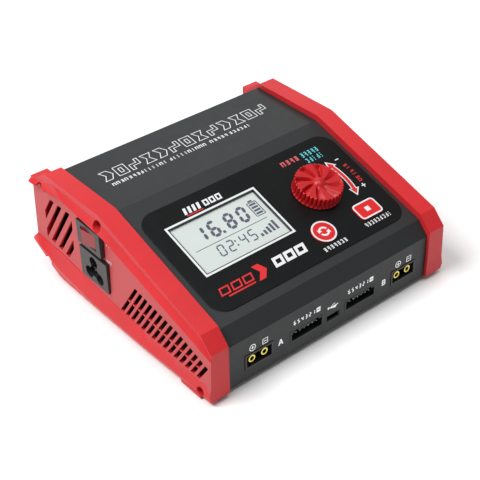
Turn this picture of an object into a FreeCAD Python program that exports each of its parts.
import FreeCAD, Part
import math
import os
import re
import Sketcher
from FreeCAD import Placement, Rotation, Vector

# Balance battery charger: a painted shell between two moulded end caps, with its boards,
# display, keys, encoder knob, sockets, mains inlet, rocker switch and fan inside it.
# X runs from the left cap to the right cap, Y from the front to the rear, Z upwards.
# Case coordinates are taken from the case front (Y) and the case underside (Z).
# Slope coordinates are taken on the sloping control panel: u along X, v up the slope,
# w outwards from the painted surface.

DIMENSIONS = {
    # case outline, as the end caps show it
    "depth": 139.5, "lift": 2.6, "front_height": 26.5, "nose_run": 6.8, "nose_height": 33.7,
    "fold_run": 79.6, "fold_height": 56.2, "crest_run": 125.3, "crest_height": 56.0,
    "rear_height": 48.5, "rear_ledge": 3.6, "tail_run": 118.0, "tail_height": 12.0,
    # end caps, measured outwards from the middle of the case
    "rim_inner": 62.0, "rim_outer": 70.0, "panel_face": 71.5, "brow_face": 73.5,
    "brow_front": 21.0, "brow_nose_run": 7.5, "brow_nose": 28.8, "brow_fold_run": 75.0,
    "brow_fold": 46.9, "brow_crest_run": 108.0, "brow_crest": 50.2, "brow_ledge": 46.5,
    "brow_rear": 45.8, "panel_slant": 2.5, "panel_foot": 72.8, "lip_root": 72.3,
    "lip_under": 1.0, "lip_front": 73.4, "lip_fore": 74.8, "lip_widest": 75.2, "lip_rear": 74.8,
    "lip_fore_run": 48.0, "lip_middle_run": 86.0, "lip_aft_run": 118.0,
    "lip_front_top": 8.4, "lip_fore_top": 8.7, "lip_middle_top": 11.4, "lip_rear_top": 14.5,
    "lip_front_edge": 2.8, "lip_aft_edge": 6.2, "lip_rear_edge": 13.4,
    "cap_wall": 2.2, "cap_floor": 2.0, "socket_depth": 4.1, "fit_gap": 0.1,
    "foot_inner": 57.4, "foot_outer": 73.0, "foot_length": 14.0, "foot_drop": 1.8,
    "front_foot": 7.0, "rear_foot": 101.0,
    "pad_radius": 5.2, "pad_sink": 0.6,
    # slanted cooling slots
    "slant": 32.6, "slot_floor": 8.2, "slot_gap": 0.3, "front_slot_first": 12.1,
    "front_slot_pitch": 4.13,
    "front_slot_width": 2.05, "rear_slot_first": 113.8, "rear_slot_pitch": 6.86,
    "rear_slot_width": 2.9, "rear_slot_floor": 16.0,
    "slot_rib": 1.2, "front_thin": 70.9, "rear_thin": 70.2,
    # painted shell
    "wall": 1.6, "shell_half": 65.9, "shell_front": 1.6, "shell_front_height": 23.8,
    "slope_y": 7.8, "slope_z": 30.4, "slope_angle": 17.02, "shell_fold_run": 81.3,
    "shell_crest_run": 126.3, "shell_crest": 53.4, "shell_rear": 132.5, "rear_bevel": 6.2,
    "ledge_depth": 6.0, "ledge_low": 1.7, "ledge_high": 3.1,
    "base_low": 0.2, "base_half": 65.7, "base_gap": 0.2,
    # screws that hold the caps, and the bosses they enter
    "boss_radius": 2.2, "boss_bore": 1.25, "boss_start": 57.5, "sink_radius": 2.9,
    "low_sink_radius": 2.5,
    "sink_floor": 67.6, "screw_hole": 1.6, "head_radius": 2.2, "head_height": 1.9,
    "shank_radius": 1.2, "shank_tip": 59.0,
    # control panel
    "panel_shift": 1.2, "overlay_width": 117.2, "overlay_rise": 63.4, "overlay_low": 4.85,
    "overlay_radius": 9.0, "overlay_thick": 0.4,
    "window_left": -47.5, "window_width": 50.6, "window_low": 25.9, "window_rise": 29.85,
    "frame_wall": 0.5, "frame_flange": 1.8, "glass_sink": 0.8, "glass_thick": 1.6,
    "backlight_thick": 3.4,
    "board_thick": 1.6, "display_sink": 9.6,
    "knob_u": 29.5, "knob_v": 39.3, "knob_radius": 12.6, "knob_low": 1.0, "knob_rim": 7.0,
    "knob_crown": 8.3, "knob_recess": 7.0, "shaft_radius": 3.0, "shaft_top": 6.0,
    "bush_radius": 3.5, "bush_top": 1.8, "nut_across": 10.0,
    "key_v": 17.76, "stop_u": 43.8, "stop_width": 13.8, "stop_rise": 9.7, "stop_radius": 2.0,
    "channel_u": 15.4, "channel_radius": 6.3, "key_gap": 0.2, "key_proud": 0.9,
    # front sockets
    "output_offset": 45.2, "output_width": 16.2, "output_rise": 8.0, "output_z": 9.9,
    "output_pitch": 7.2, "bullet_radius": 1.9, "bullet_bore": 1.2,
    "bullet_front": 2.2,
    "header_offset": 16.8, "header_width": 19.9, "header_rise": 6.2, "header_z": 9.2,
    "header_pitch": 2.5, "usb_x": 0.6, "usb_width": 7.6, "usb_rise": 2.8, "usb_z": 8.0,
    # left side: rocker switch and mains inlet
    "switch_y": 87.5, "switch_z": 40.2, "switch_width": 19.0, "switch_rise": 13.0,
    "switch_proud": 2.0, "rocker_half": 5.3, "rocker_flat": 4.5, "rocker_top": 3.6,
    "rocker_side": 2.2, "rocker_rise": 7.8, "rocker_tilt": 12.0, "rocker_pivot": 1.2,
    "rocker_room": 11.8, "rocker_pin": 0.8,
    "inlet_y": 85.9, "inlet_z": 23.2, "inlet_width": 22.3, "inlet_rise": 16.6,
    "inlet_proud": 1.7, "lobe_radius": 3.1, "lobe_reach": 4.9, "lobe_drop": 1.2,
    "blade_radius": 1.2, "flange_gap": 0.1, "flange_rim": 1.0, "seat_face": 70.6,
    # fan
    "fan_x": 14.0, "fan_z": 26.5, "fan_size": 40.0, "fan_thick": 10.0, "fan_bore": 18.8,
    "fan_hub": 10.5, "fan_tip": 17.2, "fan_screw_pitch": 32.0,
    # boards
    "board_low": 3.9, "board_half": 56.0,
}

NODES = []
doc = FreeCAD.newDocument("balance_charger")
sheet = doc.addObject("Spreadsheet::Sheet", "Sizes")
for row, (alias, size) in enumerate(DIMENSIONS.items(), start=1):
    sheet.set("A%d" % row, alias)
    sheet.set("B%d" % row, str(size))
    sheet.setAlias("B%d" % row, alias)
doc.recompute()


def linked(text):
    """Turn plain alias names into references to the sheet."""
    return re.sub(r"[a-z]\w+", lambda word: "Sizes." + word[0] if word[0] in DIMENSIONS else word[0],
                  str(text))


def bind(item, prop, text):
    item.setExpression(prop, linked(text))


def number(text):
    value = sheet.evalExpression(linked(text))
    return float(getattr(value, "Value", value))


SLOPE_TURN = Rotation(Vector(1, 0, 0), number("slope_angle"))
AXIS_TURN = {"x": Rotation(Vector(0, 1, 0), 90), "y": Rotation(Vector(1, 0, 0), -90),
             "z": Rotation()}
SIDES = {"left": -1, "right": 1}


# ---------------------------------------------------------------- placing and solids

def case_y(run):
    return "(%s) - depth / 2" % run


def case_z(rise):
    return "(%s) + lift" % rise


def in_case(item, x, y, z, turn=Rotation()):
    item.Placement = Placement(Vector(), turn)
    bind(item, "Placement.Base.x", x)
    bind(item, "Placement.Base.y", case_y(y))
    bind(item, "Placement.Base.z", case_z(z))
    return item


def on_slope(item, u, v, w, turn=Rotation()):
    y = "slope_y + (%s) * cos(slope_angle) - (%s) * sin(slope_angle)" % (v, w)
    z = "slope_z + (%s) * sin(slope_angle) + (%s) * cos(slope_angle)" % (v, w)
    return in_case(item, u, y, z, SLOPE_TURN * turn)


def block(name, frame, across, along, upwards):
    """Box between three pairs of limits."""
    box = doc.addObject("Part::Box", name)
    for prop, (low, high) in zip(("Length", "Width", "Height"), (across, along, upwards)):
        bind(box, prop, "(%s) - (%s)" % (high, low))
    return frame(box, across[0], along[0], upwards[0])


def rod(name, frame, radius, start, length, axis="z"):
    cylinder = doc.addObject("Part::Cylinder", name)
    bind(cylinder, "Radius", radius)
    bind(cylinder, "Height", length)
    return frame(cylinder, *start, AXIS_TURN[axis])


def joined(name, pieces):
    group = doc.addObject("Part::MultiFuse", name)
    group.Shapes = pieces
    return group


def cut(name, base, tools):
    result = doc.addObject("Part::Cut", name)
    result.Base = base
    result.Tool = tools[0] if len(tools) == 1 else joined(name + "_tools", tools)
    return result


def common(name, base, tool):
    result = doc.addObject("Part::Common", name)
    result.Base = base
    result.Tool = tool
    return result


def node(item, name):
    item.Label = name
    NODES.append(item)
    return item


def about(centre, size):
    """Limits of a span of the given size about its centre."""
    return ("(%s) - (%s) / 2" % (centre, size), "(%s) + (%s) / 2" % (centre, size))


# ---------------------------------------------------------------- sketched bodies

def new_body(name):
    return doc.addObject("PartDesign::Body", name)


def outline(body, name, plane, corners, offset="0"):
    """Closed straight-sided sketch whose corners are tied to the sheet."""
    sketch = body.newObject("Sketcher::SketchObject", name)
    support = next(f for f in body.Origin.OriginFeatures if f.Role == plane)
    sketch.AttachmentSupport = (support, [""])
    sketch.MapMode = "FlatFace"
    bind(sketch, "AttachmentOffset.Base.z", offset)
    points = [Vector(number(a), number(b), 0) for a, b in corners]
    count = len(points)
    for index, point in enumerate(points):
        sketch.addGeometry(Part.LineSegment(point, points[(index + 1) % count]))
    for index in range(count):
        sketch.addConstraint(Sketcher.Constraint("Coincident", index, 2, (index + 1) % count, 1))
    for index, corner in enumerate(corners):
        for kind, text, value in zip(("DistanceX", "DistanceY"), corner, points[index]):
            tie = sketch.addConstraint(Sketcher.Constraint(kind, -1, 1, index, 1, value))
            bind(sketch, "Constraints[%d]" % tie, text)
    return sketch


def pad(body, name, sketch, length):
    feature = body.newObject("PartDesign::Pad", name)
    feature.Profile = sketch
    bind(feature, "Length", length)
    body.Tip = feature
    return feature


def pocket(body, name, sketch, length, towards_plus=False):
    feature = body.newObject("PartDesign::Pocket", name)
    feature.Profile = sketch
    feature.Reversed = towards_plus
    bind(feature, "Length", length)
    body.Tip = feature
    return feature


def loft(body, name, sketches):
    feature = body.newObject("PartDesign::AdditiveLoft", name)
    feature.Profile = sketches[0]
    feature.Sections = sketches[1:]
    feature.Ruled = True
    body.Tip = feature
    return feature


def side_corners(corners):
    return [(case_y(y), case_z(z)) for y, z in corners]


def prism(name, corners, start, length):
    """Side outline carried along X from start."""
    body = new_body(name)
    sketch = outline(body, name + "_outline", "YZ_Plane", side_corners(corners), start)
    pad(body, name + "_pad", sketch, length)
    return body


def rounded_plate(name, width, rise, thick, radius):
    """Plate centred on its own origin, standing on XY, with rounded corners."""
    body = new_body(name)
    corners = [("-(%s) / 2" % width, "-(%s) / 2" % rise), ("(%s) / 2" % width, "-(%s) / 2" % rise),
               ("(%s) / 2" % width, "(%s) / 2" % rise), ("-(%s) / 2" % width, "(%s) / 2" % rise)]
    feature = pad(body, name + "_pad", outline(body, name + "_outline", "XY_Plane", corners), thick)
    doc.recompute()
    upright = ["Edge%d" % (i + 1) for i, edge in enumerate(feature.Shape.Edges)
               if abs(edge.tangentAt(edge.FirstParameter).z) > 0.99]
    corner = body.newObject("PartDesign::Fillet", name + "_corners")
    corner.Base = (feature, upright)
    bind(corner, "Radius", radius)
    body.Tip = corner
    return body


def turned(name, corners):
    """Half section in XZ (X is the radius) revolved about Z."""
    body = new_body(name)
    sketch = outline(body, name + "_section", "XZ_Plane", corners)
    feature = body.newObject("PartDesign::Revolution", name + "_turn")
    feature.Profile = sketch
    feature.ReferenceAxis = (sketch, ["V_Axis"])
    body.Tip = feature
    return body


# ---------------------------------------------------------------- shared outlines

CAP_OUTLINE = [("0", "0"), ("0", "front_height"), ("nose_run", "nose_height"),
               ("fold_run", "fold_height"), ("crest_run", "crest_height"),
               ("depth - rear_ledge", "rear_height"), ("depth", "rear_height"), ("depth", "0")]
BROW_OUTLINE = [("0", "0"), ("0", "brow_front"), ("brow_nose_run", "brow_nose"),
                ("brow_fold_run", "brow_fold"), ("brow_crest_run", "brow_crest"),
                ("depth - rear_ledge", "brow_ledge"), ("depth", "brow_rear"), ("depth", "0")]
LIP = [("0", "lip_front", "lip_front_top", "lip_front_edge"),
       ("lip_fore_run", "lip_fore", "lip_fore_top", "lip_front_edge"),
       ("lip_middle_run", "lip_widest", "lip_middle_top", "lip_front_edge"),
       ("lip_aft_run", "lip_widest", "lip_rear_top", "lip_aft_edge"),
       ("depth", "lip_rear", "lip_rear_top", "lip_rear_edge")]
FOLD_Z = "slope_z + (shell_fold_run - slope_y) * tan(slope_angle)"
BEVEL_Z = "shell_crest - rear_bevel"
CAP_SCREWS = [("6.4", "2.8", "low_sink_radius"), ("127", "6.2", "low_sink_radius"),
              ("80.4", "50.3", "sink_radius"), ("129.5", "46.4", "sink_radius")]


def shell_outline(gap, floor):
    """Outer outline of the painted shell, grown by gap, down to floor."""
    return [("shell_front - (%s)" % gap, floor),
            ("shell_front - (%s)" % gap, "shell_front_height + (%s) * 0.4" % gap),
            ("slope_y - (%s) * 0.5" % gap, "slope_z + (%s) * 0.9" % gap),
            ("shell_fold_run", "%s + (%s)" % (FOLD_Z, gap)),
            ("shell_crest_run + (%s) * 0.4" % gap, "shell_crest + (%s)" % gap),
            ("shell_rear + (%s)" % gap, BEVEL_Z + " + (%s) * 0.4" % gap),
            ("shell_rear + (%s)" % gap, floor)]


# ---------------------------------------------------------------- end caps

def cap_form(side):
    """Outer form of one end cap: block, bevelled brow, sunk panel and flared lip."""
    sign = SIDES[side]
    body = new_body(side + "_cap_form")
    inner = "-panel_face" if sign < 0 else "rim_inner"
    first = outline(body, "cap_outline", "YZ_Plane", side_corners(CAP_OUTLINE), inner)
    pad(body, "cap_block", first, "panel_face - rim_inner")
    wide = outline(body, "brow_base", "YZ_Plane", side_corners(CAP_OUTLINE),
                   "%d * rim_outer" % sign)
    narrow = outline(body, "brow_edge", "YZ_Plane", side_corners(BROW_OUTLINE),
                     "%d * brow_face" % sign)
    loft(body, "brow", [wide, narrow])
    sunk = [("-5", "-5"), ("-5", "brow_nose - 8.7"), ("brow_nose_run", "brow_nose"),
            ("brow_fold_run", "brow_fold"), ("brow_crest_run", "brow_crest"),
            ("depth - rear_ledge", "brow_ledge"), ("depth + 5", "brow_rear"), ("depth + 5", "-5")]
    panel = outline(body, "panel_outline", "YZ_Plane", side_corners(sunk),
                    "%d * (panel_foot + 5)" % sign)
    panel.AttachmentOffset = Placement(Vector(), Rotation(Vector(-sign, 0, 0), 1))
    bind(panel, "AttachmentOffset.Rotation.Angle", "panel_slant")
    pocket(body, "panel", panel, "5 * cos(panel_slant)", sign < 0)
    sections = []
    for run, edge, top, low in LIP:
        corners = [("rim_outer", top), ("lip_root", top), (edge, low),
                   ("%s - lip_under" % edge, "0"), ("rim_outer", "0")]
        corners = [("%d * (%s)" % (sign, x), case_z(z)) for x, z in corners]
        sections.append(outline(body, "lip_section", "XZ_Plane", corners,
                                "-(%s)" % case_y(run)))
    loft(body, "lip", sections)
    tail = [("tail_run", "-5"), ("tail_run", "0"), ("depth", "tail_height"),
            ("depth + 5", "tail_height"), ("depth + 5", "-5")]
    tail_cut = outline(body, "tail_outline", "YZ_Plane", side_corners(tail), "%d * 80" % sign)
    pocket(body, "tail", tail_cut, "20", sign < 0)
    seat = outline(body, "seat_outline", "YZ_Plane", side_corners(shell_outline("fit_gap", "-1")),
                   "%d * (rim_inner + socket_depth)" % sign)
    pocket(body, "seat", seat, "socket_depth + 1", sign > 0)
    body.Tip.Reversed = sign < 0
    inside = shell_outline("-1.2", "cap_floor")
    room = outline(body, "room_outline", "YZ_Plane", side_corners(inside),
                   "%d * (panel_face - cap_wall)" % sign)
    pocket(body, "room", room, "panel_face - cap_wall - rim_inner", False)
    body.Tip.Reversed = sign < 0
    return body


def slots(name, count, first, pitch, width, floor, window):
    """Slanted slots through a cap panel, trimmed to a window."""
    lean = Rotation(Vector(1, 0, 0), number("slant"))
    bars = []
    for index in range(count):
        bar = doc.addObject("Part::Box", name + "_bar")
        bind(bar, "Length", "20")
        bind(bar, "Width", width)
        bind(bar, "Height", "45")
        start = "%s + %d * %s - 3 * cos(slant)" % (first, index, pitch)
        bars.append(in_case(bar, "0", start, "(%s) - 2" % floor, lean))
    shape = joined(name + "_bars", bars)
    return common(name, shape, prism(name + "_window", window, "0", "20"))


FRONT_WINDOW = [("0", "lip_front_top + slot_gap"), ("0", "17.5"), ("22", "24.4"),
                ("56", "29.85"), ("lip_middle_run", "29.85"),
                ("lip_middle_run", "lip_middle_top + slot_gap"),
                ("lip_fore_run", "lip_fore_top + slot_gap")]
REAR_WINDOW = [("105.3", "15"), ("105.3", "42.4"), ("130", "41.6"), ("130", "17.8")]
# where the panel is thinner behind its slots
FRONT_THIN = [("5", "7"), ("5", "17"), ("22", "23.6"), ("56", "28.6"), ("69", "28.6"), ("69", "7")]
REAR_THIN = [("104", "15"), ("104", "41.5"), ("131", "40.5"), ("131", "16")]


def end_cap(side):
    sign = SIDES[side]
    form = cap_form(side)
    bosses = []
    tools = []
    for y, z, sink in CAP_SCREWS:
        start = "rim_inner + socket_depth" if sign > 0 else "cap_wall - panel_face"
        bosses.append(rod("cap_boss", in_case, sink + " + 0.9", (start, y, z),
                          "panel_face - cap_wall - rim_inner - socket_depth", "x"))
        outer = "sink_floor" if sign > 0 else "-sink_floor - 20"
        tools.append(rod("head_sink", in_case, sink, (outer, y, z), "20", "x"))
        inner = "rim_inner" if sign > 0 else "-sink_floor - 1"
        tools.append(rod("screw_way", in_case, "screw_hole", (inner, y, z),
                         "sink_floor + 1 - rim_inner", "x"))
    trimmed = common("cap_bosses", joined("boss_set", bosses),
                     prism("boss_trim", CAP_OUTLINE, "-80", "160"))
    for window in (slots("front_slots", 15, "front_slot_first", "front_slot_pitch",
                         "front_slot_width", "slot_floor", FRONT_WINDOW),
                   slots("rear_slots", 5, "rear_slot_first", "rear_slot_pitch",
                         "rear_slot_width", "rear_slot_floor", REAR_WINDOW)):
        window.Placement = Placement(Vector(sign * 60 - (20 if sign < 0 else 0), 0, 0), Rotation())
        tools.append(window)
    for name, edge in (("front_thin", FRONT_THIN), ("rear_thin", REAR_THIN)):
        depth = "%s - panel_face + cap_wall + 0.2" % name
        start = "panel_face - cap_wall - 0.2" if sign > 0 else "-" + name
        tools.append(prism(name + "_recess", edge, start, depth))
    feet = []
    for run in ("front_foot", "rear_foot"):
        inner, outer = ("foot_inner", "foot_outer") if sign > 0 else ("-foot_outer", "-foot_inner")
        feet.append(block("foot", in_case, (inner, outer), (run, run + " + foot_length"),
                          ("-foot_drop", "0")))
        middle = "%d * (foot_inner + foot_outer) / 2" % sign
        tools.append(rod("pad_sink", in_case, "pad_radius",
                         (middle, run + " + foot_length / 2", "-foot_drop - 1"), "pad_sink + 1"))
    if sign < 0:
        for part in ("inlet", "switch"):
            place = "%s_y" % part, "%s_z" % part
            for start, margin in (("-rim_inner", "-2 * flange_rim + 2 * flange_gap"),
                                  ("-seat_face", "2 * flange_gap")):
                tools.append(block(part + "_way", in_case, ("-80", start),
                                   about(place[0], "%s_width + %s" % (part, margin)),
                                   about(place[1], "%s_rise + %s" % (part, margin))))
    solid = cut(side + "_cap_cut", joined(side + "_cap_solid", [form, trimmed] + feet), tools)
    rib = prism("slot_rib", [("9", "13.2"), ("9", "14.3"), ("64", "20.1"), ("64", "19")],
                "panel_face - slot_rib" if sign > 0 else "-panel_face", "slot_rib")
    node(joined(side + "_end_cap", [solid, rib]), side + "_end_cap")


def cap_screws(side):
    sign = SIDES[side]
    screws = []
    for y, z, sink in CAP_SCREWS:
        head = "sink_floor" if sign > 0 else "-sink_floor - head_height"
        shank = "shank_tip" if sign > 0 else "-sink_floor"
        socket = "sink_floor + 0.8" if sign > 0 else "-sink_floor - head_height - 1"
        whole = joined("cap_screw_blank", [
            rod("cap_screw_head", in_case, "head_radius", (head, y, z), "head_height", "x"),
            rod("cap_screw_shank", in_case, "shank_radius", (shank, y, z),
                "sink_floor - shank_tip", "x")])
        screws.append(cut("cap_screw", whole, [
            rod("cap_screw_socket", in_case, "1.3", (socket, y, z), "head_height + 0.2", "x")]))
    node(joined(side + "_cap_screws", screws), side + "_cap_screws")


def rubber_feet():
    pads = []
    for sign in SIDES.values():
        for run in ("front_foot", "rear_foot"):
            pads.append(rod("rubber_pad", in_case, "pad_radius - 0.1",
                            ("%d * (foot_inner + foot_outer) / 2" % sign,
                             run + " + foot_length / 2", "-lift"), "lift - foot_drop + pad_sink"))
    node(joined("rubber_feet", pads), "rubber_feet")


# ---------------------------------------------------------------- shell and base

def top_shell():
    blank = new_body("shell_blank")
    profile = outline(blank, "shell_outline", "YZ_Plane", side_corners(shell_outline("0", "0")),
                      "-shell_half")
    block_pad = pad(blank, "shell_pad", profile, "2 * shell_half")
    doc.recompute()
    open_faces = ["Face%d" % (i + 1) for i, face in enumerate(block_pad.Shape.Faces)
                  if abs(face.normalAt(0, 0).x) > 0.99 or face.normalAt(0, 0).z < -0.99]
    skin = blank.newObject("PartDesign::Thickness", "shell_skin")
    skin.Base = (block_pad, open_faces)
    skin.Reversed = True
    skin.Join = 1
    bind(skin, "Value", "wall")
    blank.Tip = skin
    inner_front = "shell_front + wall"
    inner_rear = "shell_rear - wall"
    extra = [block("front_ledge", in_case, ("-shell_half", "shell_half"),
                   ("shell_front + wall / 2", inner_front + " + ledge_depth"),
                   ("ledge_low", "ledge_high")),
             block("rear_ledge", in_case, ("-shell_half", "shell_half"),
                   (inner_rear + " - ledge_depth", "shell_rear - wall / 2"),
                   ("ledge_low", "ledge_high"))]
    bores = []
    for start in ("boss_start", "-shell_half"):
        for y, z, sink in CAP_SCREWS:
            extra.append(rod("shell_boss", in_case, "boss_radius", (start, y, z),
                             "shell_half - boss_start", "x"))
            bores.append(rod("shell_bore", in_case, "boss_bore", (start, y, z),
                             "shell_half - boss_start", "x"))
    webs = [block("fold_web", in_case, span, ("78.5", "81.5"), ("49", "51.9"))
            for span in (("-shell_half", "-boss_start"), ("boss_start", "shell_half"))]
    tools = bores + [
        block("window_way", on_slope, ("window_left", "window_left + window_width"),
              ("window_low", "window_low + window_rise"), ("-4", "2")),
        rod("bush_way", on_slope, "bush_radius + 0.3", ("knob_u", "knob_v", "-4"), "6"),
        rod("channel_way", on_slope, "channel_radius + key_gap", ("channel_u", "key_v", "-4"), "6"),
        on_slope(rounded_plate("stop_way", "stop_width + 2 * key_gap", "stop_rise + 2 * key_gap",
                               "6", "stop_radius"), "stop_u", "key_v", "-4"),
        block("usb_way", in_case, about("usb_x", "usb_width + 0.4"), ("-1", "5"),
              about("usb_z", "usb_rise + 0.4"))]
    for sign in SIDES.values():
        tools.append(block("output_way", in_case,
                           about("panel_shift + %d * output_offset" % sign, "output_width + 0.5"),
                           ("-1", "5"), about("output_z", "output_rise + 0.5")))
        tools.append(block("header_way", in_case,
                           about("panel_shift + %d * header_offset" % sign, "header_width + 0.3"),
                           ("-1", "5"), about("header_z", "header_rise + 0.3")))
        for base_y in ("6.5", "127.6"):
            tools.append(rod("base_tap", in_case, "0.9", ("%d * 50" % sign, base_y, "1"), "4"))
    grille_pitch = 4.4
    for index in range(-4, 5):
        reach = math.sqrt(17.6 ** 2 - (grille_pitch * index) ** 2) if abs(index) < 4 else 4.0
        tools.append(block("grille_slot", in_case,
                           about("fan_x + %.2f" % (grille_pitch * index), "2.6"),
                           (inner_rear + " - 1", "shell_rear + 1"),
                           about("fan_z", "%.1f" % (2 * reach))))
    tools += [rod("fan_tap", in_case, "1.1", (x, inner_rear + " - 1", z), "wall + 2", "y")
              for x, z in fan_corners()]
    solid = joined("shell_solid", [blank] + extra + webs)
    node(cut("top_shell", solid, tools), "top_shell")


def base_plate():
    plate = block("base_sheet", in_case, ("-base_half", "base_half"),
                  ("shell_front + wall + base_gap", "shell_rear - wall - base_gap"),
                  ("base_low", "ledge_low"))
    tools = []
    for sign in SIDES.values():
        for y in ("6.5", "127.6"):
            tools.append(rod("base_hole", in_case, "1.3", ("%d * 50" % sign, y, "-1"), "4"))
            tools.append(rod("base_sink", in_case, "2.3", ("%d * 50" % sign, y, "-1"), "1.9"))
        for y in ("6.4", "127"):
            tools.append(block("base_notch", in_case, about("%d * shell_half" % sign, "17.4"),
                               about(y, "7"), ("-1", "3")))
    for index in range(9):
        tools.append(block("base_slot", in_case, ("-20", "20"),
                           about("%d" % (40 + 6 * index), "2.2"), ("-1", "3")))
    node(cut("base_plate", plate, tools), "base_plate")


def base_screws():
    screws = []
    for sign in SIDES.values():
        for y in ("6.5", "127.6"):
            x = "%d * 50" % sign
            screws.append(joined("base_screw", [
                rod("base_screw_head", in_case, "2.1", (x, y, "base_low"), "0.7"),
                rod("base_screw_shank", in_case, "0.85", (x, y, "base_low + 0.7"), "3.2")]))
    node(joined("base_screws", screws), "base_screws")


# ---------------------------------------------------------------- control panel

def panel_overlay():
    sheet_body = rounded_plate("overlay_sheet", "overlay_width", "overlay_rise", "overlay_thick",
                               "overlay_radius")
    on_slope(sheet_body, "panel_shift + 0.2", "overlay_low + overlay_rise / 2", "0")
    tools = [
        block("overlay_window", on_slope, ("window_left", "window_left + window_width"),
              ("window_low", "window_low + window_rise"), ("-1", "2")),
        rod("overlay_bush", on_slope, "6.2", ("knob_u", "knob_v", "-1"), "3"),
        rod("overlay_channel", on_slope, "channel_radius + key_gap",
            ("channel_u", "key_v", "-1"), "3"),
        on_slope(rounded_plate("overlay_stop", "stop_width + 2 * key_gap",
                               "stop_rise + 2 * key_gap", "3", "stop_radius"),
                 "stop_u", "key_v", "-1")]
    node(cut("panel_overlay", sheet_body, tools), "panel_overlay")


def display():
    """Frame that lines the window, with the display stack behind it."""
    left, right = "window_left", "window_left + window_width"
    low, high = "window_low", "window_low + window_rise"
    gap = "0.05"
    lining = block("frame_lining", on_slope, ("%s + %s" % (left, gap), "%s - %s" % (right, gap)),
                   ("%s + %s" % (low, gap), "%s - %s" % (high, gap)), ("-3.4", "overlay_thick"))
    flange = block("frame_flange", on_slope,
                   ("%s - frame_flange" % left, "%s + frame_flange" % right),
                   ("%s - 1.6" % low, "%s + 1.6" % high), ("-3.4", "-wall - 0.05"))
    hollow = block("frame_hollow", on_slope,
                   ("%s + frame_wall" % left, "%s - frame_wall" % right),
                   ("%s + frame_wall" % low, "%s - frame_wall" % high), ("-5", "2"))
    node(cut("lcd_frame", joined("frame_blank", [lining, flange]), [hollow]), "lcd_frame")
    inside = (("%s + frame_wall + 0.05" % left, "%s - frame_wall - 0.05" % right),
              ("%s + frame_wall + 0.05" % low, "%s - frame_wall - 0.05" % high))
    node(block("lcd_glass", on_slope, *inside, ("-glass_sink - glass_thick", "-glass_sink")),
         "lcd_glass")
    node(block("lcd_backlight", on_slope, *inside,
               ("-glass_sink - glass_thick - backlight_thick", "-glass_sink - glass_thick")),
         "lcd_backlight")


DISPLAY_CORNERS = [("-46.5", "9"), ("52", "9"), ("-46.5", "61.5"), ("52", "61.5")]


def display_board():
    board = block("display_blank", on_slope, ("-50", "55.5"), ("6", "65"),
                  ("-display_sink - board_thick", "-display_sink"))
    holes = [rod("display_hole", on_slope, "1.3", (u, v, "-display_sink - 3"), "5")
             for u, v in DISPLAY_CORNERS]
    node(cut("display_board", board, holes), "display_board")
    spacers = []
    screws = []
    for u, v in DISPLAY_CORNERS:
        spacers.append(cut("display_spacer", rod("spacer_post", on_slope, "2.1",
                                                 (u, v, "-display_sink"), "display_sink - wall"),
                           [rod("spacer_bore", on_slope, "1.1", (u, v, "-display_sink - 1"), "6")]))
        screws.append(joined("display_screw", [
            rod("display_screw_head", on_slope, "2.2",
                (u, v, "-display_sink - board_thick - 1.4"), "1.4"),
            rod("display_screw_shank", on_slope, "1.05",
                (u, v, "-display_sink - board_thick"), "board_thick + 4")]))
    node(joined("display_spacers", spacers), "display_spacers")
    node(joined("display_screws", screws), "display_screws")


def encoder():
    at = ("knob_u", "knob_v")
    can = block("encoder_can", on_slope, about("knob_u", "12.4"), about("knob_v", "13.2"),
                ("-display_sink", "-3.1"))
    well = rod("encoder_well", on_slope, "shaft_radius + 0.06", (*at, "-8.9"), "8")
    node(cut("encoder_body", can, [well]), "encoder_body")
    node(cut("encoder_bush", rod("bush_blank", on_slope, "bush_radius", (*at, "-3.1"),
                                 "3.1 + bush_top"),
             [rod("bush_bore", on_slope, "shaft_radius + 0.06", (*at, "-4"), "8")]),
         "encoder_bush")
    hexagon = doc.addObject("Part::Prism", "nut_blank")
    hexagon.Polygon = 6
    bind(hexagon, "Circumradius", "nut_across / 2 / cos(30)")
    bind(hexagon, "Height", "1.3")
    on_slope(hexagon, *at, "0")
    node(cut("encoder_nut", hexagon, [rod("nut_bore", on_slope, "bush_radius",
                                          (*at, "-1"), "4")]), "encoder_nut")
    node(rod("encoder_plunger", on_slope, "shaft_radius - 0.4", (*at, "-8.2"), "1.1"),
         "encoder_plunger")
    node(rod("encoder_shaft", on_slope, "shaft_radius", (*at, "-7.1"), "7.1 + shaft_top"),
         "encoder_shaft")


def knob():
    blank = turned("knob_blank", [
        ("0", "knob_low"), ("knob_radius + 0.1", "knob_low"), ("knob_radius + 0.1", "2.2"),
        ("knob_radius - 0.3", "knob_rim - 0.7"), ("knob_radius - 1.2", "knob_rim"),
        ("3.6", "knob_rim - 0.2"), ("2.2", "knob_crown - 0.4"), ("0", "knob_crown")])
    on_slope(blank, "knob_u", "knob_v", "0")
    tools = [rod("knob_bore", on_slope, "shaft_radius", ("knob_u", "knob_v", "0"), "shaft_top"),
             rod("knob_under", on_slope, "knob_recess", ("knob_u", "knob_v", "0"), "3")]
    flutes = 36
    for index in range(flutes):
        angle = 2 * math.pi * index / flutes
        u = "knob_u + (knob_radius + 0.55) * %.5f" % math.cos(angle)
        v = "knob_v + (knob_radius + 0.55) * %.5f" % math.sin(angle)
        tools.append(rod("flute", on_slope, "0.8", (u, v, "2.4"), "6"))
    node(cut("knob", blank, tools), "knob")


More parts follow.
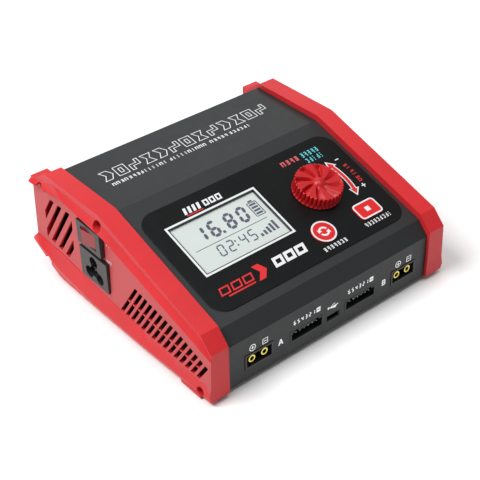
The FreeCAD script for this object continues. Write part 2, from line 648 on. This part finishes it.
def keys():
    """Two keys on the panel, each over a small switch on the display board."""
    stop = joined("stop_key", [
        on_slope(rounded_plate("stop_cap", "stop_width", "stop_rise", "wall + 0.1 + key_proud",
                               "stop_radius"), "stop_u", "key_v", "-wall - 0.1"),
        on_slope(rounded_plate("stop_flange", "stop_width + 1.8", "stop_rise + 1.8", "0.9",
                               "stop_radius"), "stop_u", "key_v", "-wall - 1"),
        rod("stop_stem", on_slope, "2", ("stop_u", "key_v", "-4.5"), "2")])
    node(stop, "stop_button")
    channel = joined("channel_key", [
        rod("channel_cap", on_slope, "channel_radius", ("channel_u", "key_v", "-wall - 0.1"),
            "wall + 0.1 + key_proud"),
        rod("channel_flange", on_slope, "channel_radius + 0.9",
            ("channel_u", "key_v", "-wall - 1"), "0.9"),
        rod("channel_stem", on_slope, "2", ("channel_u", "key_v", "-4.5"), "2")])
    node(channel, "channel_button")
    switches = []
    for name, u in (("stop", "stop_u"), ("channel", "channel_u")):
        housing = block(name + "_switch", on_slope, about(u, "6.2"), about("key_v", "6.2"),
                        ("-display_sink", "-5.3"))
        switches.append(cut(name + "_switch_body", housing, [
            rod("switch_well", on_slope, "1.9", (u, "key_v", "-7"), "3")]))
        node(rod(name + "_plunger", on_slope, "1.7", (u, "key_v", "-6"), "1.5"),
             name + "_plunger")
    node(joined("tact_switches", switches), "tact_switches")


# ---------------------------------------------------------------- front sockets

def output_sockets():
    bullets = []
    for name, sign in (("output_socket_a", -1), ("output_socket_b", 1)):
        x = "panel_shift + %d * output_offset" % sign
        nose = block(name + "_nose", in_case, about(x, "output_width"), ("1.3", "17"),
                     about("output_z", "output_rise"))
        collar = block(name + "_collar", in_case, about(x, "output_width + 2"), ("3.4", "6"),
                       about("output_z", "output_rise"))
        room = block(name + "_room", in_case, about(x, "output_width - 2"), ("0", "9.5"),
                     about("output_z", "output_rise - 1.8"))
        wells = [rod(name + "_well", in_case, "bullet_radius", (bullet, "8", "output_z"), "10", "y")
                 for bullet in (x + " - output_pitch / 2", x + " + output_pitch / 2")]
        node(cut(name, joined(name + "_blank", [nose, collar]), [room] + wells), name)
        for bullet in (x + " - output_pitch / 2", x + " + output_pitch / 2"):
            bullets.append(cut(name + "_bullet", rod("bullet_rod", in_case, "bullet_radius",
                                                     (bullet, "bullet_front", "output_z"),
                                                     "19 - bullet_front", "y"),
                               [rod("bullet_bore", in_case, "bullet_bore",
                                    (bullet, "bullet_front - 1", "output_z"), "11", "y")]))
    node(joined("output_contacts", bullets), "output_contacts")


def balance_sockets():
    pins = []
    for name, sign in (("balance_socket_a", -1), ("balance_socket_b", 1)):
        x = "panel_shift + %d * header_offset" % sign
        housing = block(name + "_housing", in_case, about(x, "header_width"), ("1.5", "12.5"),
                        about("header_z", "header_rise"))
        room = block(name + "_room", in_case, about(x, "header_width - 1.6"), ("0", "9.4"),
                     about("header_z", "header_rise - 1.6"))
        keys_cut = [block(name + "_key", in_case, about("%s + %s" % (x, shift), "1.6"),
                          ("0", "8"), ("header_z + 1", "header_z + header_rise"))
                    for shift in ("-6.2", "6.2")]
        holes = []
        for index in range(7):
            pin_x = "%s + %d * header_pitch" % (x, index - 3)
            pins.append(block("balance_pin", in_case, about(pin_x, "0.64"), ("3.4", "14.5"),
                              about("header_z - 0.4", "0.64")))
            holes.append(block("pin_hole", in_case, about(pin_x, "0.64"), ("8", "14.5"),
                               about("header_z - 0.4", "0.64")))
        node(cut(name, housing, [room] + keys_cut + holes), name)
    node(joined("balance_pins", pins), "balance_pins")


def usb_socket():
    can = block("usb_can", in_case, about("usb_x", "usb_width"), ("1.9", "7.4"),
                about("usb_z", "usb_rise"))
    room = block("usb_room", in_case, about("usb_x", "usb_width - 0.6"), ("0", "6.9"),
                 about("usb_z", "usb_rise - 0.6"))
    tongue = block("usb_tongue", in_case, about("usb_x", "4"), ("2.6", "7"),
                   ("usb_z + 0.1", "usb_z + 0.7"))
    node(joined("usb_socket", [cut("usb_shell", can, [room]), tongue]), "usb_socket")


# ---------------------------------------------------------------- rocker switch and inlet

def swung(out, along):
    """Point of the rocker, out from its pin and along its face, at the resting tilt."""
    return ("rocker_pivot - panel_face - (%s) * cos(rocker_tilt) - (%s) * sin(rocker_tilt)"
            % (out, along),
            case_y("switch_y + (%s) * cos(rocker_tilt) - (%s) * sin(rocker_tilt)" % (along, out)))


def rocker_switch():
    barrel_end = "-panel_face + 13"
    bezel = block("switch_bezel", in_case, ("-panel_face - switch_proud", "-seat_face"),
                  about("switch_y", "switch_width"), about("switch_z", "switch_rise"))
    barrel = block("switch_barrel", in_case, ("-seat_face", barrel_end),
                   about("switch_y", "switch_width - 2 * flange_rim"),
                   about("switch_z", "switch_rise - 2 * flange_rim"))
    room = block("switch_room", in_case, ("-panel_face - switch_proud - 1", "-panel_face + 10"),
                 about("switch_y", "rocker_room"), about("switch_z", "rocker_rise + 0.6"))
    pin_place = ("rocker_pivot - panel_face", "switch_y", "switch_z - rocker_rise / 2 - 0.6")
    pin_length = "rocker_rise + 1.2"
    node(cut("rocker_frame", joined("switch_blank", [bezel, barrel]),
             [room, rod("switch_pin_way", in_case, "rocker_pin", pin_place, pin_length)]),
         "rocker_frame")
    node(rod("rocker_pin", in_case, "rocker_pin", pin_place, pin_length), "rocker_pin")
    body = new_body("rocker_blank")
    corners = [swung("-3.4", "-2.3"), swung("-3.4", "2.3"), swung("-0.4", "rocker_half"),
               swung("rocker_side", "rocker_half"), swung("rocker_top", "rocker_flat"),
               swung("rocker_top", "-rocker_flat"), swung("rocker_side", "-rocker_half"),
               swung("-0.4", "-rocker_half")]
    sketch = outline(body, "rocker_outline", "XY_Plane", corners,
                     case_z("switch_z - rocker_rise / 2"))
    pad(body, "rocker_pad", sketch, "rocker_rise")
    bore = rod("rocker_bore", in_case, "rocker_pin + 0.06",
               ("rocker_pivot - panel_face", "switch_y", "switch_z - rocker_rise"),
               "2 * rocker_rise")
    node(cut("rocker", body, [bore]), "rocker")
    blades = [block("switch_blade", in_case, (barrel_end, "-panel_face + 20"),
                    about("switch_y + %d" % shift, "0.8"), about("switch_z", "4.8"))
              for shift in (-5, 5)]
    node(joined("rocker_terminals", blades), "rocker_terminals")


def lobes(radius, start, length, name):
    """Three rods about the inlet axis."""
    rods = []
    for angle in (90, 210, 330):
        y = "inlet_y + lobe_reach * cos(%d)" % angle
        z = "inlet_z + lobe_reach * sin(%d) - lobe_drop" % angle
        rods.append(rod(name, in_case, radius, (start, y, z), length, "x"))
    return rods


def mains_inlet():
    face = "-panel_face - inlet_proud"
    flange = block("inlet_flange", in_case, (face, "-seat_face"),
                   about("inlet_y", "inlet_width"), about("inlet_z", "inlet_rise"))
    barrel = block("inlet_barrel", in_case, ("-seat_face", "-panel_face + 18"),
                   about("inlet_y", "inlet_width - 2 * flange_rim"),
                   about("inlet_z", "inlet_rise - 2 * flange_rim"))
    middle = rod("inlet_middle", in_case, "lobe_radius", (face + " - 1", "inlet_y", "inlet_z - lobe_drop"),
                 "16", "x")
    tools = [middle] + lobes("lobe_radius", face + " - 1", "16", "inlet_lobe")
    tools += lobes("blade_radius", "-panel_face + 10", "10", "inlet_pin_way")
    node(cut("inlet_body", joined("inlet_blank", [flange, barrel]), tools), "inlet_body")
    node(joined("inlet_pins", lobes("blade_radius", face + " + 3", "25", "inlet_pin")),
         "inlet_pins")


# ---------------------------------------------------------------- fan

def fan_corners():
    return [("fan_x + %d * fan_screw_pitch / 2" % i, "fan_z + %d * fan_screw_pitch / 2" % j)
            for i in (-1, 1) for j in (-1, 1)]


def cooling_fan():
    front = "shell_rear - wall - fan_thick"
    frame = block("fan_block", in_case, about("fan_x", "fan_size"), (front, "shell_rear - wall"),
                  about("fan_z", "fan_size"))
    bore = rod("fan_way", in_case, "fan_bore", ("fan_x", front + " - 1", "fan_z"),
               "fan_thick + 2", "y")
    holes = [rod("fan_hole", in_case, "1.5", (x, front + " - 1", z), "fan_thick + 2", "y")
             for x, z in fan_corners()]
    ring = cut("fan_ring", frame, [bore] + holes)
    mount = rod("fan_mount", in_case, "fan_hub", ("fan_x", front, "fan_z"), "1.4", "y")
    struts = [block("fan_strut", in_case, about("fan_x", "fan_size - 2"),
                    (front, front + " + 1.4"), about("fan_z", "2")),
              block("fan_strut", in_case, about("fan_x", "2"), (front, front + " + 1.4"),
                    about("fan_z", "fan_size - 2"))]
    shaft_way = rod("fan_shaft_way", in_case, "0.8", ("fan_x", front + " - 1", "fan_z"), "4", "y")
    node(cut("fan_frame", joined("fan_frame_blank", [ring, mount] + struts), [shaft_way]),
         "fan_frame")
    node(rod("fan_shaft", in_case, "0.75", ("fan_x", front + " + 0.2", "fan_z"), "6.5", "y"),
         "fan_shaft")
    start = front + " + 2"
    hub = rod("rotor_hub", in_case, "fan_hub", ("fan_x", start, "fan_z"), "fan_thick - 2.8", "y")
    blades = []
    count = 7
    for index in range(count):
        blade = doc.addObject("Part::Box", "rotor_blade")
        bind(blade, "Length", "fan_tip - fan_hub + 2")
        bind(blade, "Width", "7.4")
        bind(blade, "Height", "0.9")
        spin = Rotation(Vector(0, 1, 0), 360.0 * index / count)
        pitch = spin * Rotation(Vector(1, 0, 0), 38)
        root = spin.multVec(Vector(number("fan_hub") - 1.5, 0, -2.6))
        in_case(blade, "fan_x + %.4f" % root.x, start + " + 0.8", "fan_z + %.4f" % root.z, pitch)
        blades.append(blade)
    bore = rod("rotor_bore", in_case, "0.75", ("fan_x", front, "fan_z"), "7", "y")
    node(cut("fan_rotor", joined("rotor_blank", [hub] + blades), [bore]), "fan_rotor")
    screws = []
    for x, z in fan_corners():
        screws.append(joined("fan_screw", [
            rod("fan_screw_head", in_case, "2.3", (x, "shell_rear", z), "1.4", "y"),
            rod("fan_screw_shank", in_case, "1.05", (x, front + " + 1", z),
                "fan_thick - 1 + wall", "y")]))
    node(joined("fan_screws", screws), "fan_screws")


# ---------------------------------------------------------------- boards and their parts

BOARDS = {"main_board": (("-board_half", "board_half"), ("17.2", "68")),
          "power_board": (("-44", "board_half"), ("71", "118.5"))}


def boards():
    posts = []
    screws = []
    for name, (across, along) in BOARDS.items():
        plate = block(name + "_plate", in_case, across, along,
                      ("board_low", "board_low + board_thick"))
        holes = []
        for x in (across[0] + " + 4", across[1] + " - 4"):
            for y in (along[0] + " + 4", along[1] + " - 4"):
                holes.append(rod("board_hole", in_case, "1.5", (x, y, "board_low - 1"), "4"))
                posts.append(cut("board_post", rod("post", in_case, "2.6", (x, y, "ledge_low"),
                                                   "board_low - ledge_low"),
                                 [rod("post_bore", in_case, "1.2", (x, y, "ledge_low"), "4")]))
                top = "board_low + board_thick"
                screws.append(joined("board_screw", [
                    rod("board_screw_head", in_case, "2.4", (x, y, top), "1.5"),
                    rod("board_screw_shank", in_case, "1.15", (x, y, "ledge_low + 0.2"),
                        top + " - ledge_low - 0.2")]))
        node(cut(name, plate, holes), name)
    node(joined("board_posts", posts), "board_posts")
    node(joined("board_screws", screws), "board_screws")


def connector_board():
    """Narrow board behind the front wall that carries the front sockets."""
    plate = block("connector_plate", in_case, ("-54", "board_half"), ("4.2", "17"),
                  ("output_z - output_rise / 2 - board_thick", "output_z - output_rise / 2"))
    node(plate, "connector_board")


def power_parts():
    top = "board_low + board_thick"
    core = joined("core_blank", [
        block("core_low", in_case, ("8", "36"), ("80", "104"), (top, top + " + 6")),
        block("core_high", in_case, ("8", "36"), ("80", "104"), (top + " + 20", top + " + 26")),
        block("core_left", in_case, ("8", "13"), ("80", "104"), (top, top + " + 26")),
        block("core_right", in_case, ("31", "36"), ("80", "104"), (top, top + " + 26")),
        rod("core_leg", in_case, "4.5", ("22", "92", top), "26")])
    node(core, "transformer_core")
    coil = rod("coil_blank", in_case, "8.6", ("22", "92", top + " + 6.1"), "13.8")
    node(cut("transformer_coil", coil, [rod("coil_bore", in_case, "4.6", ("22", "92", top), "30")]),
         "transformer_coil")
    node(rod("bulk_capacitor", in_case, "9", ("-21", "82", top), "28"), "bulk_capacitor")
    node(joined("output_capacitors", [
        rod("output_capacitor", in_case, "4.9", (str(x), str(y), top), "14")
        for x in (-44, -32) for y in (30, 42)]), "output_capacitors")
    inductors = []
    for x in (2, 22):
        ring = doc.addObject("Part::Torus", "inductor_ring")
        bind(ring, "Radius1", "6.2")
        bind(ring, "Radius2", "3")
        inductors.append(in_case(ring, str(x), "44", top + " + 3.1"))
    node(joined("output_inductors", inductors), "output_inductors")
    fins = [block("heat_fin", in_case, (str(42 + 3 * i), str(43.2 + 3 * i)), ("78", "112"),
                  (top + " + 2", top + " + 30")) for i in range(4)]
    foot = block("heat_foot", in_case, ("40.5", "53"), ("78", "112"), (top, top + " + 3"))
    node(joined("heat_sink", [foot] + fins), "heat_sink")
    node(joined("power_transistors", [
        block("power_transistor", in_case, ("37", "40.4"), about(str(y), "10"),
              (top + " + 1", top + " + 16")) for y in (109, )] + [
        block("power_transistor", in_case, about(str(x), "10"), ("60", "64.5"),
              (top, top + " + 15")) for x in (-6, 8, 22)]), "power_transistors")
    node(rod("mains_fuse", in_case, "2.6", ("-40", "107", top + " + 3.6"), "20", "x"), "mains_fuse")
    clips = [block("fuse_clip", in_case, about(str(x), "4"), about("107", "7"),
                   (top, top + " + 0.95")) for x in (-38, -22)]
    node(joined("fuse_clips", clips), "fuse_clips")
    node(block("control_chip", in_case, about("-16", "12"), about("44", "12"),
               (top, top + " + 1.4")), "control_chip")


def lead(name, points, radius):
    """Round insulated lead: straight runs joined by tangent arcs."""
    corners = [Vector(number(x), number(case_y(y)), number(case_z(z))) for x, y, z in points]
    edges = []
    start = corners[0]
    for before, corner, after in zip(corners, corners[1:], corners[2:]):
        back = (before - corner).normalize()
        ahead = (after - corner).normalize()
        turn = math.pi - back.getAngle(ahead)
        reach = 0.45 * min((before - corner).Length, (after - corner).Length)
        bend = reach / math.tan(turn / 2)
        first = corner + back * reach
        last = corner + ahead * reach
        middle = (back + ahead).normalize()
        centre = corner + middle * math.hypot(reach, bend)
        edges.append(Part.makeLine(start, first))
        edges.append(Part.Arc(first, centre - middle * bend, last).toShape())
        start = last
    edges.append(Part.makeLine(start, corners[-1]))
    path = Part.Wire(edges)
    run = (corners[1] - corners[0]).normalize()
    ring = Part.Wire([Part.makeCircle(radius, corners[0], run)])
    item = doc.addObject("Part::Feature", name)
    item.Shape = path.makePipeShell([ring], True, False)
    return item


def inner_leads():
    """Mains leads between inlet, switch and power board, and the fan's lead."""
    board_top = "board_low + board_thick"
    pin_tip = "-panel_face - inlet_proud + 28"
    blade_tip = "-panel_face + 20"
    low_z = "inlet_z + lobe_reach * sin(210) - lobe_drop"
    live_y = "inlet_y + lobe_reach * cos(210)"
    neutral_y = "inlet_y + lobe_reach * cos(330)"
    live = lead("live_lead", [
        (pin_tip, live_y, low_z), ("-36", live_y, low_z), ("-36", "switch_y - 5", "switch_z"),
        (blade_tip, "switch_y - 5", "switch_z")], 0.9)
    switched = lead("switched_lead", [
        (blade_tip, "switch_y + 5", "switch_z"), ("-40", "switch_y + 5", "switch_z"),
        ("-39", "100", "22"), ("-39", "100", board_top)], 0.9)
    neutral = lead("neutral_lead", [
        (pin_tip, neutral_y, low_z), ("-36", neutral_y, low_z),
        ("-36", neutral_y, board_top)], 0.9)
    node(joined("mains_leads", [live, switched, neutral]), "mains_leads")
    node(lead("fan_lead", [("-6", "124", "11"), ("-13", "124", "11"), ("-13", "115", "11"),
                           ("-13", "115", board_top)], 0.8), "fan_lead")


def check_and_write():
    doc.recompute()
    for item in doc.Objects:
        if "Invalid" in item.State or "Error" in item.State:
            raise RuntimeError("%s failed: %s" % (item.Name, item.State))
    for item in NODES:
        if item.Shape.isNull() or not item.Shape.isValid():
            raise RuntimeError(item.Label + " has no valid shape")
    os.makedirs("parts", exist_ok=True)
    for item in NODES:
        item.Shape.exportStep("parts/%s.step" % item.Label)
        solids = item.Shape.Solids
        print("%-20s solids %2d  volume %9.1f" % (item.Label, len(solids), item.Shape.Volume))
    print(len(NODES), "nodes")


for side in SIDES:
    end_cap(side)
    cap_screws(side)
rubber_feet()
top_shell()
base_plate()
base_screws()
panel_overlay()
display()
display_board()
encoder()
knob()
keys()
output_sockets()
balance_sockets()
usb_socket()
rocker_switch()
mains_inlet()
cooling_fan()
boards()
connector_board()
power_parts()
inner_leads()
check_and_write()
